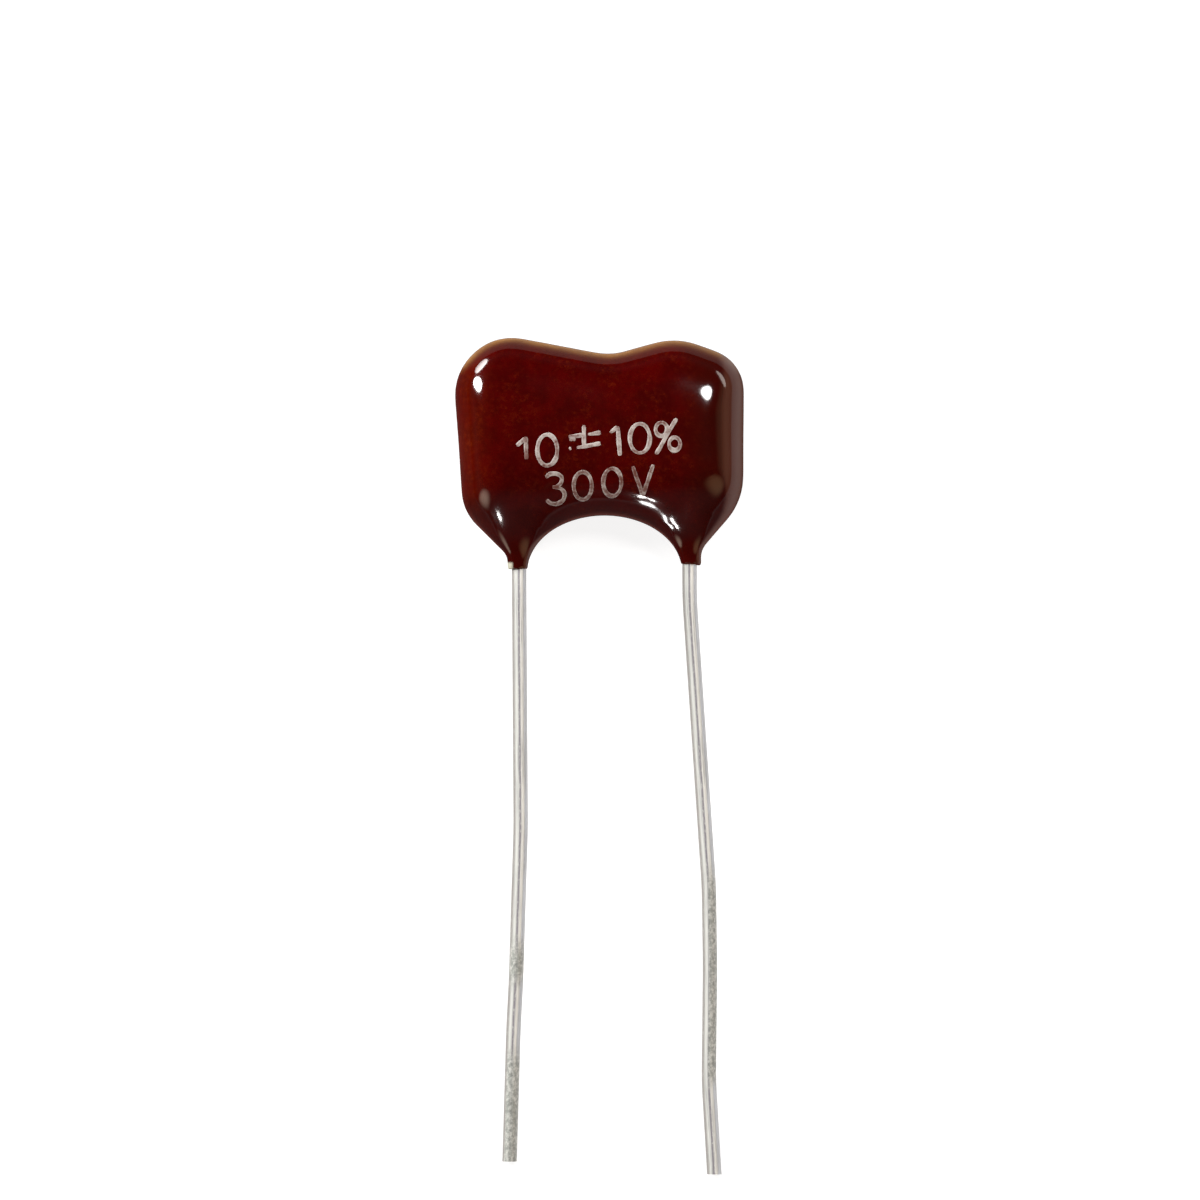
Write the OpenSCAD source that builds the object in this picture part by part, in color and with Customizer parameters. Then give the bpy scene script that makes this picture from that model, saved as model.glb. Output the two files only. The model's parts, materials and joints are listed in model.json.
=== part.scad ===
// Dipped silver mica capacitor.
// A silvered mica sheet lies between cover sheets of plain mica. Two foils bring its electrodes
// out at opposite ends, where a folded brass clamp grips the stack. A wire lead is soldered
// into a groove in the back of each clamp, and a thick resin coat covers all of it down to
// two tapering legs.
// Frame: the capacitor lies on its back face, with the ends of its leads on the same surface.
// The origin is in that face, midway between the leads and between the arch and the lobes.
// +Z points up to the printed face, +Y to the lobes, and the leads run towards -Y. Millimetres.

/* [Mica stack] */
// Capacitance in picofarads, which sets how far the two electrodes overlap
capacitance = 10; // [6:1:14]
// Length of each mica sheet, from clamp to clamp
mica_l = 7.6; // [7:0.1:8.2]
// Width of each mica sheet, up the body
mica_w = 4.3; // [4:0.1:4.8]
// Thickness of the silvered sheet
dielectric_t = 0.05; // [0.04:0.005:0.07]
// Thickness of each cover sheet
cover_t = 0.1; // [0.05:0.01:0.15]
// How far the stack sits from the middle of the leads
stack_shift = -0.17; // [-0.25:0.01:0.1]
// Height of the stack's middle above the origin
stack_y = -0.15; // [-0.3:0.05:0]
// Thickness of the fired silver
silver_t = 0.01; // [0.005:0.005:0.02]
// Width of the electrodes
silver_w = 2.93; // [2.8:0.01:3.4]
// Thickness of the foils
foil_t = 0.03; // [0.02:0.01:0.05]
// Silver that each foil leaves bare along its sides and at its inner end
foil_margin = 0.12; // [0.05:0.01:0.3]
// Length of foil that is folded back under the clamp
foil_fold = 1.3; // [0.8:0.1:1.6]

/* [Clamps] */
// Thickness of the brass
clamp_t = 0.15; // [0.1:0.01:0.25]
// Length of stack that each clamp covers
clamp_grip = 1.9; // [1.7:0.1:2.2]
// Mica that shows above and below each clamp
clamp_inset = 0.1; // [0:0.05:0.4]
// Outer radius of the clamp's two folds
clamp_bend_r = 0.2; // [0.1:0.05:0.3]

/* [Leads] */
// Diameter of the wire
wire_d = 0.5; // [0.4:0.05:0.65]
// Distance between the leads where they leave the coat
lead_pitch = 5.85; // [5.7:0.05:6.1]
// How far the inner end of each lead stands above the mica
lead_rise = 0.35; // [0.1:0.05:0.5]
// Depth of the groove that seats the wire in the clamp
seat_depth = 0.05; // [0.02:0.01:0.1]
// Size of a bend's knuckle over the wire's own diameter
knuckle = 1.02; // [1.01:0.01:1.05]
// Length of the left lead below its leg
lead_l_left = 20.4; // [12:0.2:30]
// Length of the right lead below its leg
lead_l_right = 21; // [12:0.2:30]

/* [Solder] */
// Length of the soldered joint along the wire
solder_l = 2.6; // [1.6:0.1:3.4]
// Thickness of the solder over the wire
solder_skin = 0.06; // [0.03:0.01:0.12]
// How far the fillet's foot reaches from the wire's axis
solder_foot = 0.48; // [0.4:0.02:0.6]

/* [Coat] */
// Resin over the clamps in front and over the leads behind
coat_face = 1.145; // [0.8:0.05:1.4]
// Resin beyond the clamps at the two sides
coat_side = 0.97; // [0.8:0.01:1.2]
// Resin above the mica at the dip between the lobes
coat_top = 0.53; // [0.4:0.01:0.8]
// Resin below the mica at the top of the arch
coat_bottom = 0.74; // [0.55:0.05:1]
// Width of the back's rounding along the outer edge
round_outer = 1.4; // [0.9:0.05:1.45]
// Width of the back's rounding along the arch
round_inner = 0.8; // [0.6:0.05:1]
// Width of the domed front's rounding along the outer edge
dome_outer = 2.4; // [1.6:0.1:2.6]
// Width of the domed front's rounding along the arch
dome_inner = 1.2; // [0.8:0.1:1.6]
// Fullness of the dome: 2 makes it an ellipse, and more makes it flatter in the middle
dome_fill = 2.6; // [2:0.1:3.4]

/* [Legs] */
// Length of the left leg below the top of the arch
leg_left = 1.82; // [1.5:0.02:2.2]
// Length of the right leg below the top of the arch
leg_right = 1.66; // [1.5:0.02:2.2]
// Film on the outer side of the wire at a leg's end
film_outer = 0.15; // [0.08:0.01:0.25]
// Film on the inner side of the wire at a leg's end
film_inner = 0.04; // [0.03:0.01:0.12]
// Film in front of and behind the wire at a leg's end
film_face = 0.1; // [0.05:0.01:0.2]
// Straight stretch of the left leg's outer side
neck_left = 0.45; // [0.25:0.05:0.6]
// Straight stretch of the right leg's outer side
neck_right = 0.5; // [0.25:0.05:0.7]
// Height of the arch's ellipse, as a share of the longer leg
arch_depth = 1.05; // [1.02:0.01:1.3]
// Height above the arch at which the front has its full height
front_rise = 1.8; // [0.8:0.1:2.4]
// Height above the arch at which the back is flat
back_rise = 0.3; // [0.2:0.05:0.6]

/* [Shoulders and lobes] */
// Left corner above the mica's top edge
shoulder_left = -0.1; // [-0.3:0.05:0.2]
// Right corner above the mica's top edge
shoulder_right = 0.26; // [0:0.02:0.4]
// How far the left corner stands out past the coat's side
shoulder_out_left = 0.06; // [0:0.02:0.14]
// How far the right corner stands out past the coat's side
shoulder_out_right = 0.02; // [0:0.02:0.1]
// Radius of the left shoulder
shoulder_r_left = 1.9; // [1.5:0.05:2]
// Radius of the right shoulder
shoulder_r_right = 1.45; // [1.45:0.05:1.6]
// Left lobe's peak outside its lead's axis
lobe_out_left = 0.85; // [0.6:0.05:1]
// Right lobe's peak outside its lead's axis
lobe_out_right = -0.45; // [-0.6:0.05:0]
// Left lobe's peak above the inner end of its lead
lobe_rise_left = 0.86; // [0.7:0.02:1]
// Right lobe's peak above the inner end of its lead
lobe_rise_right = 0.74; // [0.6:0.02:0.9]
// Radius of the left lobe
lobe_r_left = 1.93; // [1.4:0.05:2.2]
// Radius of the right lobe
lobe_r_right = 2.37; // [1.6:0.05:2.6]
// Sideways place of the dip between the lobes
dip_x = 0.15; // [0:0.05:0.3]
// Half the length of the dip's round bottom
dip_half = 0.25; // [0.15:0.05:0.5]

/* [Hips] */
// Left lower corner below the mica's bottom edge
hip_drop_left = 0.61; // [0.4:0.05:0.8]
// Right lower corner below the mica's bottom edge
hip_drop_right = 0.25; // [0.1:0.05:0.5]
// How far the left side leans in towards its lower corner
hip_lean_left = 0.27; // [0:0.03:0.4]
// How far the right side leans in towards its lower corner
hip_lean_right = 0.02; // [0:0.01:0.2]
// Radius of the left lower corner
hip_r_left = 1.7; // [1:0.1:2]
// Radius of the right lower corner
hip_r_right = 2.3; // [1:0.1:2.6]
// Radius where the left leg leaves the body
neck_r_left = 0.9; // [0.5:0.05:1.2]
// Radius where the right leg leaves the body
neck_r_right = 1.05; // [0.5:0.05:1.3]

/* [Hidden] */

LEFT = -1;
RIGHT = 1;

// Bends of each lead outside the coat, as [offset away from the other lead, share of the lead's
// length below the leg]. The last entry is the cut end. From the first bend to that end the lead
// sinks to the surface.
lead_bends_left = [[0, 0.04], [-0.05, 0.436], [0.12, 0.7], [0.2, 0.77], [0.34, 1]];
lead_bends_right = [[0, 0.057], [0.67, 0.529], [0.71, 0.657], [0.67, 0.848], [0.86, 1]];

// Fineness of the coat's skin, and of the round pieces
back_steps = 6;
front_steps = 14;
leg_stations = 14;
body_stations = 40;
corner_steps = 10;
$fn = 64;
// Lengths along a path that differ by less than this are the same
same_length = 1e-9;

// The stack is held in z between the clamp's two flanges, from the back up
wire_r = wire_d / 2;
// A straight stretch of lead ends this far short of a bend, with its rim inside the knuckle
knuckle_gap = wire_r * sqrt(pow(knuckle, 2) - 1) / 2;
wire_z = coat_face + wire_r;
clamp_back = wire_z + wire_r - seat_depth;
fold_z = clamp_back + clamp_t;
stack_back = fold_z + foil_t;
cover_back_inner_z = stack_back + cover_t;
foil_back_z = cover_back_inner_z + cover_t;
silver_back_z = foil_back_z + foil_t;
dielectric_z = silver_back_z + silver_t;
silver_front_z = dielectric_z + dielectric_t;
foil_front_z = silver_front_z + silver_t;
cover_front_inner_z = foil_front_z + foil_t;
cover_front_outer_z = cover_front_inner_z + cover_t;
stack_front = cover_front_outer_z + cover_t;
clamp_front = stack_front + clamp_t;
body_t = clamp_front + coat_face;

// Plan of the stack and clamps
mica_top = stack_y + mica_w / 2;
mica_bottom = stack_y - mica_w / 2;
clamp_w = mica_w - 2 * clamp_inset;
clamp_reach = mica_l / 2 + foil_t + clamp_t;
foil_w = silver_w - 2 * foil_margin;
lead_top = mica_top + lead_rise;

// Electrode overlap of a parallel plate capacitor, with the permittivity of free space in
// picofarads per millimetre
vacuum_permittivity = 0.008854;
mica_permittivity = 6.85;
overlap = capacitance * dielectric_t / (vacuum_permittivity * mica_permittivity * silver_w);

// Plan of the coat
arch_top = mica_bottom - coat_bottom;
dip_y = mica_top + coat_top;
leg_out = lead_pitch / 2 + wire_r + film_outer;
leg_in = lead_pitch / 2 - wire_r - film_inner;
leg_end_r = wire_r + film_face;

// Shares of a chain's length that belong to its leg
leg_share_outer = 0.16;
leg_share_inner = 0.42;
// Widest rounding, as a share of the distance between the two edges
widest_round = 0.47;
// The dome's crown runs midway between the two edges
crown_share = 0.5;
// How the dome's steps grow towards its crown
step_growth = 1.7;
// Longest part of a side that one rounded corner may take up
corner_share = 0.49;
// Widest rounding of the clamp's folds, as a share of its height
fold_share = 0.48;
// Width of the solder beside the wire's axis, as a share of its round
solder_waist = 0.8;

// ---- plane geometry ----

function unit(v) = v / norm(v);
function clip(x) = max(0, min(1, x));
function ease(x) = (1 - cos(180 * clip(x))) / 2;
// The smaller of two sizes, with a smooth change from one to the other
function soft_min(a, b) = a * b / pow(pow(a, 4) + pow(b, 4), 0.25);

// Turning angle at b on the way from a to c
function turn(a, b, c) =
    let (u = unit(b - a), v = unit(c - b))
    atan2(u.x * v.y - u.y * v.x, u.x * v.x + u.y * v.y);

// Arc of radius r that rounds corner b, kept within the two sides that meet there
function corner(a, b, c, r) =
    let (
        bend = turn(a, b, c),
        half = tan(abs(bend) / 2),
        reach = min(r * half, corner_share * norm(b - a), corner_share * norm(c - b)),
        radius = reach / half,
        u = unit(b - a),
        start = b - u * reach,
        centre = start + radius * sign(bend) * [-u.y, u.x],
        from = start - centre
    )
    [for (i = [0:corner_steps])
        let (q = bend * i / corner_steps)
        centre + [from.x * cos(q) - from.y * sin(q), from.x * sin(q) + from.y * cos(q)]];

// Length of a path up to each of its points
function lengths(path, i = 0, sum = 0) =
    i == len(path) - 1 ? [sum]
    : concat([sum], lengths(path, i + 1, sum + norm(path[i + 1] - path[i])));

// Point of a path at length s
function along(path, sums, s) =
    let (
        later = [for (i = [1:len(path) - 1]) if (sums[i] >= s - same_length) i],
        k = len(later) > 0 ? later[0] : len(path) - 1,
        step = sums[k] - sums[k - 1]
    )
    path[k - 1] + (path[k] - path[k - 1]) * clip((s - sums[k - 1]) / step);

// A path with its stations: leg_stations steps in the leg's share, body_stations in the rest
function stationed(path, leg_share) =
    let (sums = lengths(path), total = sums[len(sums) - 1])
    [for (i = [0:leg_stations + body_stations])
        let (share = i < leg_stations
            ? leg_share * i / leg_stations
            : leg_share + (1 - leg_share) * (i - leg_stations) / body_stations)
        along(path, sums, total * share)];

// ---- the coat's two edges, from a leg's end to the middle, drawn for the +X side ----

function leg_y(side) = arch_top - (side == RIGHT ? leg_right : leg_left);

function outer_half(side) =
    let (
        is_right = side == RIGHT,
        end_y = leg_y(side),
        side_x = clamp_reach + side * stack_shift + coat_side,
        neck = [leg_out, end_y + (is_right ? neck_right : neck_left)],
        hip = [side_x - (is_right ? hip_lean_right : hip_lean_left),
               mica_bottom - (is_right ? hip_drop_right : hip_drop_left)],
        shoulder = [side_x + (is_right ? shoulder_out_right : shoulder_out_left),
                    mica_top + (is_right ? shoulder_right : shoulder_left)],
        lobe = [lead_pitch / 2 + (is_right ? lobe_out_right : lobe_out_left),
                lead_top + (is_right ? lobe_rise_right : lobe_rise_left)],
        dip = [side * dip_x, dip_y],
        dip_end = dip + [dip_half, 0]
    )
    stationed(concat(
        [[leg_out, end_y]],
        corner([leg_out, end_y], neck, hip, is_right ? neck_r_right : neck_r_left),
        corner(neck, hip, shoulder, is_right ? hip_r_right : hip_r_left),
        corner(hip, shoulder, lobe, is_right ? shoulder_r_right : shoulder_r_left),
        corner(shoulder, lobe, dip_end, is_right ? lobe_r_right : lobe_r_left),
        corner(lobe, dip_end, dip - [dip_half, 0],
            dip_half / tan(abs(turn(lobe, dip_end, dip)) / 2)),
        [dip]
    ), leg_share_outer);

// One side of the arch is part of an ellipse, from the leg's inner end to the top
function inner_half(side) =
    let (
        rise = arch_depth * max(leg_left, leg_right),
        reach = acos(1 - (arch_top - leg_y(side)) / rise),
        half_width = leg_in / sin(reach)
    )
    stationed([for (i = [0:2 * corner_steps])
        let (q = reach * (1 - i / (2 * corner_steps)))
        [half_width * sin(q), arch_top - rise * (1 - cos(q))]], leg_share_inner);

function mirrored(path) = [for (p = path) [-p.x, p.y]];
function reversed(path) = [for (i = [len(path) - 1:-1:0]) path[i]];
function without_last(path) = [for (i = [0:len(path) - 2]) path[i]];

// Both edges run from the right leg over the body to the left leg, station by station
outer_edge = concat(without_last(outer_half(RIGHT)), reversed(mirrored(outer_half(LEFT))));
inner_edge = concat(without_last(inner_half(RIGHT)), reversed(mirrored(inner_half(LEFT))));
last_station = len(outer_edge) - 1;

// ---- the coat's sections ----

// Direction into the resin, square to the edge over the body and across the leg at its end
function inward(edge, other, i, hand) =
    let (
        t = unit(edge[min(i + 1, last_station)] - edge[max(i - 1, 0)]),
        across = unit(other[i] - edge[i]),
        body = ease(min(i, last_station - i) / leg_stations)
    )
    unit(body * hand * [-t.y, t.x] + (1 - body) * across);

// How far the coat has grown at a place, from the thin round end of a leg to its full height
function fullness(at, rise) =
    let (end = leg_y(LEFT) + (leg_y(RIGHT) - leg_y(LEFT)) * ease(at.x / lead_pitch + 0.5))
    ease((at.y - end) / (arch_top + rise - end));

// A point of the skin at one station, counted by j from the back face over 0 at the rim to the
// crown. The back is rounded evenly. The dome leaves its edge squarely, swings to the crown in
// steps that grow on the way, and rises as a superellipse.
function skin_point(edge, other, i, hand, back_width, front_width, j) =
    let (
        p = edge[i],
        n = inward(edge, other, i, hand),
        reach = norm(other[i] - p),
        q = 90 * max(0, -j) / back_steps,
        back = n * soft_min(back_width, widest_round * reach) * (1 - cos(q)),
        s = pow(max(0, j) / front_steps, step_growth),
        lead = n * soft_min(front_width, crown_share * reach) / 2,
        crown = (other[i] - p) * crown_share,
        at = p + back + 2 * s * (1 - s) * lead + s * s * crown,
        full = fullness(at, front_rise),
        rim_z = wire_z + (body_t / 2 - wire_z) * full,
        front_z = wire_z + leg_end_r + (body_t - wire_z - leg_end_r) * full,
        back_z = (wire_z - leg_end_r) * (1 - fullness(at, back_rise))
    )
    [at.x, at.y, rim_z - (rim_z - back_z) * sin(q)
        + (front_z - rim_z) * pow(1 - pow(1 - s, dome_fill), 1 / dome_fill)];

function section(i) = concat(
    [for (j = [-back_steps:front_steps])
        skin_point(outer_edge, inner_edge, i, 1, round_outer, dome_outer, j)],
    [for (j = [front_steps - 1:-1:-back_steps])
        skin_point(inner_edge, outer_edge, i, -1, round_inner, dome_inner, j)]
);

// A closed skin over a row of sections with the same number of points. Each four-sided patch is
// divided along its shorter diagonal.
module skin(sections) {
    n = len(sections[0]);
    last = len(sections) - 1;
    points = [for (s = sections) each s];
    polyhedron(
        points = points,
        faces = concat(
            [[for (j = [n - 1:-1:0]) j]],
            [for (i = [0:last - 1], j = [0:n - 1])
                let (a = i * n + j, b = i * n + (j + 1) % n)
                each norm(points[b + n] - points[a]) <= norm(points[a + n] - points[b])
                    ? [[a, b + n, a + n], [a, b, b + n]]
                    : [[a, b, a + n], [b, b + n, a + n]]],
            [[for (j = [0:n - 1]) last * n + j]]
        ),
        convexity = 6
    );
}

module coat_form() {
    skin([for (i = [0:last_station]) section(i)]);
}

// ---- sub-parts ----

// A plate between two heights, centred on the stack unless its ends are given
module sheet(length, width, z, thickness, from = undef) {
    start = is_undef(from) ? -length / 2 : from;
    translate([stack_shift + start, stack_y - width / 2, z]) cube([length, width, thickness]);
}

// An outline in x and z, drawn out along the body by its width
module drawn(width, middle_y) {
    translate([0, middle_y + width / 2, 0]) rotate([90, 0, 0]) linear_extrude(width) children();
}

// The clamp's outer outline, with its two folds rounded
module clamp_outline(side) {
    reach = clamp_reach + side * stack_shift;
    inner = reach - clamp_t - foil_t - clamp_grip;
    height = clamp_front - clamp_back;
    r = min(clamp_bend_r, fold_share * height);
    translate([inner, clamp_back]) square([reach - r - inner, height]);
    translate([inner, clamp_back + r]) square([reach - inner, height - 2 * r]);
    for (z = [clamp_back + r, clamp_front - r]) translate([reach - r, z]) circle(r);
}

module clamp(side) {
    reach = clamp_reach + side * stack_shift - clamp_t;
    color([0.78, 0.72, 0.58]) mirror([side == LEFT ? 1 : 0, 0, 0]) difference() {
        drawn(clamp_w, stack_y) difference() {
            clamp_outline(side);
            translate([0, fold_z]) square([reach, stack_front - fold_z]);
        }
        inner_wire();
    }
}

// The straight part of the right lead, from its inner end to just past the leg
module inner_wire() {
    low = min(leg_y(LEFT), leg_y(RIGHT)) - wire_d;
    translate([lead_pitch / 2, lead_top, wire_z]) rotate([90, 0, 0])
        cylinder(h = lead_top - low, r = wire_r);
}

// A round bar on the line between two points, short of them by the given gaps
module rod(from, to, r, gap_from, gap_to) {
    v = to - from;
    length = norm(v);
    translate(from + v / length * gap_from)
        rotate([0, acos(v.z / length), atan2(v.y, v.x)])
        cylinder(h = length - gap_from - gap_to, r = r);
}

// The lead's bends in the frame, drawn for the +X side
function lead_points(side) =
    let (
        bends = side == RIGHT ? lead_bends_right : lead_bends_left,
        lead_l = side == RIGHT ? lead_l_right : lead_l_left,
        first = bends[0][1]
    )
    concat([[lead_pitch / 2, lead_top, wire_z]], [for (b = bends)
        [lead_pitch / 2 + b[0], leg_y(side) - b[1] * lead_l,
         wire_z - (wire_z - wire_r) * (b[1] - first) / (1 - first)]]);

// Straight stretches with a knuckle between each two
module lead(side) {
    points = lead_points(side);
    last = len(points) - 1;
    color([0.82, 0.82, 0.8]) mirror([side == LEFT ? 1 : 0, 0, 0]) {
        for (i = [1:last])
            rod(points[i - 1], points[i], wire_r,
                i == 1 ? 0 : knuckle_gap, i == last ? 0 : knuckle_gap);
        for (i = [1:last - 1]) translate(points[i]) sphere(wire_r * knuckle);
    }
}

// Solder round the wire where it lies in the clamp's groove
module solder_outline() {
    over = wire_r + solder_skin;
    intersection() {
        translate([lead_pitch / 2, 0]) union() {
            translate([0, wire_z]) circle(over);
            polygon([[-solder_foot, clamp_back], [-over * solder_waist, wire_z],
                     [over * solder_waist, wire_z], [solder_foot, clamp_back]]);
        }
        translate([0, wire_z - 2 * over])
            square([lead_pitch, clamp_back - wire_z + 2 * over]);
    }
}

module solder(side) {
    color([0.62, 0.63, 0.64]) mirror([side == LEFT ? 1 : 0, 0, 0]) difference() {
        drawn(solder_l, stack_y) solder_outline();
        inner_wire();
    }
}

// A foil lies on its electrode, runs out past the end of the stack and folds back behind it
module foil(side, layer_z) {
    end = mica_l / 2;
    inner_end = -overlap / 2 + foil_margin;
    color([0.7, 0.7, 0.72]) translate([stack_shift, 0, 0]) mirror([side == LEFT ? 1 : 0, 0, 0])
        drawn(foil_w, stack_y) polygon([
            [inner_end, layer_z], [end, layer_z],
            [end, stack_back], [end - foil_fold, stack_back],
            [end - foil_fold, fold_z], [end + foil_t, fold_z],
            [end + foil_t, layer_z + foil_t], [inner_end, layer_z + foil_t]
        ]);
}

// Each electrode is fired on one face of the silvered sheet and runs to one end of it
module electrode(side, z) {
    length = mica_l / 2 + overlap / 2;
    color([0.88, 0.88, 0.86])
        sheet(length, silver_w, z, silver_t, side == LEFT ? -mica_l / 2 : -overlap / 2);
}

module mica(z, thickness) {
    color([0.85, 0.8, 0.68, 0.8]) sheet(mica_l, mica_w, z, thickness);
}

// Everything that the resin is moulded round
module clamped_stack() {
    sheet(mica_l, mica_w, stack_back, stack_front - stack_back);
    for (side = [LEFT, RIGHT]) mirror([side == LEFT ? 1 : 0, 0, 0]) {
        drawn(clamp_w, stack_y) clamp_outline(side);
        drawn(solder_l, stack_y) solder_outline();
        inner_wire();
    }
}

module coating() {
    color([0.33, 0.03, 0.02]) difference() {
        coat_form();
        clamped_stack();
    }
}

coating();
lead(LEFT);  // lead_left
lead(RIGHT);  // lead_right
solder(LEFT);  // solder_left
solder(RIGHT);  // solder_right
clamp(LEFT);  // clamp_left
clamp(RIGHT);  // clamp_right
foil(LEFT, foil_front_z);  // foil_front
foil(RIGHT, foil_back_z);  // foil_back
electrode(LEFT, silver_front_z);  // electrode_front
electrode(RIGHT, silver_back_z);  // electrode_back
mica(dielectric_z, dielectric_t);  // dielectric_mica
mica(cover_front_inner_z, cover_t);  // cover_mica_front_inner
mica(cover_front_outer_z, cover_t);  // cover_mica_front_outer
mica(cover_back_inner_z, cover_t);  // cover_mica_back_inner
mica(stack_back, cover_t);  // cover_mica_back_outer
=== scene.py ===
import json
import math

import bpy
import numpy as np
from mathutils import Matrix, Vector, noise

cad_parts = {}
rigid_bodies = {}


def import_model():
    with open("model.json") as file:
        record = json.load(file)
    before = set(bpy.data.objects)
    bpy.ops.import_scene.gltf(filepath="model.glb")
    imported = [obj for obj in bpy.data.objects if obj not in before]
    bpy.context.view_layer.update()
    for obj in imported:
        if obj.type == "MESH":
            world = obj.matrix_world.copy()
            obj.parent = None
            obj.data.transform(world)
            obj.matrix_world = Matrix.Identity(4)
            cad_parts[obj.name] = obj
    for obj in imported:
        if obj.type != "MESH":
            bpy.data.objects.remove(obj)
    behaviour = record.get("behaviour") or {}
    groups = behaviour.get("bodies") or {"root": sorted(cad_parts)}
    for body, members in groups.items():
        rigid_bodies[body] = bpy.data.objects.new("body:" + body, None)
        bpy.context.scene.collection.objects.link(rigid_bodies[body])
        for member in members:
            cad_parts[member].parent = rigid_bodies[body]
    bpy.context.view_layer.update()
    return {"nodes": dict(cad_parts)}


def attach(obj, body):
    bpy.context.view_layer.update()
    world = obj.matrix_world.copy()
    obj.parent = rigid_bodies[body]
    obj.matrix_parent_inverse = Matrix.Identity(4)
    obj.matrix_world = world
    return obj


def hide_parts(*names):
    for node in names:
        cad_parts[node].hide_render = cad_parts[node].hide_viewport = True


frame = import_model()
nodes = frame["nodes"]
mm = 0.001

print("frame loaded:", len(nodes), "nodes")


def start(name):
    # nothing else may be selected when an operator runs
    bpy.ops.object.select_all(action="DESELECT")
    print("making", name)


def activate(piece):
    bpy.ops.object.select_all(action="DESELECT")
    piece.select_set(True)
    bpy.context.view_layer.objects.active = piece


def modify(piece, kind, **settings):
    activate(piece)
    modifier = piece.modifiers.new(kind.title(), kind)
    for key, value in settings.items():
        setattr(modifier, key, value)
    bpy.ops.object.modifier_apply(modifier=modifier.name)


def perVertex(piece, key):
    found = np.empty(len(piece.data.vertices) * 3, np.float32)
    piece.data.vertices.foreach_get(key, found)
    return found.reshape(-1, 3)


def points(piece):
    return perVertex(piece, "co").astype(float)


def setPoints(piece, places):
    piece.data.vertices.foreach_set("co", places.astype(np.float32).ravel())
    piece.data.update()


def keepPerVertex(piece, name, kind, values):
    # an attribute that a material reads; kind is FLOAT or FLOAT_VECTOR
    attribute = piece.data.attributes.new(name, kind, "POINT")
    key = "value" if kind == "FLOAT" else "vector"
    attribute.data.foreach_set(key, values.astype(np.float32).ravel())


def resize(piece, factor):
    activate(piece)
    piece.scale = (factor, factor, factor)
    bpy.ops.object.transform_apply(location=True, rotation=True, scale=True)


def weigh(piece, name, weights, levels=20):
    # a vertex group filled in a few steps of weight
    group = piece.vertex_groups.new(name=name)
    steps = np.round(np.clip(weights, 0, 1) * levels).astype(int)
    for step in range(1, levels + 1):
        chosen = np.nonzero(steps == step)[0]
        if len(chosen):
            group.add(chosen.tolist(), step / levels, "REPLACE")


def smoothStep(values, low, high):
    # rises from low to high, or falls where low is the higher one
    share = np.clip((values - low) / (high - low), 0, 1)
    return share * share * (3 - 2 * share)


def hand(piece, slot, *replaced):
    # the piece joins the frame
    print(piece.name, "triangles", sum(len(f.vertices) - 2 for f in piece.data.polygons))
    piece.data.validate()
    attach(piece, "root")
    if replaced:
        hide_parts(*replaced)
    return piece


def tone(red, green, blue):
    # a colour as it is seen, from 0 to 255, turned into light
    def light(level):
        level /= 255
        return level / 12.92 if level <= 0.04045 else ((level + 0.055) / 1.055) ** 2.4
    return (light(red), light(green), light(blue), 1.0)


class Wire:
    # one output of a node; sums on it add Math nodes
    def __init__(self, shader, socket):
        self.shader, self.socket = shader, socket

    def maths(self, operation, *values):
        settings, sockets = {"operation": operation}, dict(enumerate(values))
        return self.shader.add("ShaderNodeMath", settings, sockets)

    def __add__(self, other): return self.maths("ADD", self, other)
    def __radd__(self, other): return self.maths("ADD", other, self)
    def __sub__(self, other): return self.maths("SUBTRACT", self, other)
    def __rsub__(self, other): return self.maths("SUBTRACT", other, self)
    def __mul__(self, other): return self.maths("MULTIPLY", self, other)
    def __rmul__(self, other): return self.maths("MULTIPLY", other, self)
    def __abs__(self): return self.maths("ABSOLUTE", self)

    def most(self, other):
        return self.maths("MAXIMUM", self, other)

    def line(self, start, slope):
        return start + slope * self

    def ease(self, low, high, start=0.0, end=1.0):
        # goes smoothly from start to end as this goes from low to high
        return self.shader.add("ShaderNodeMapRange", {"interpolation_type": "SMOOTHSTEP"},
                               {0: self, 1: low, 2: high, 3: start, 4: end})


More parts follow.
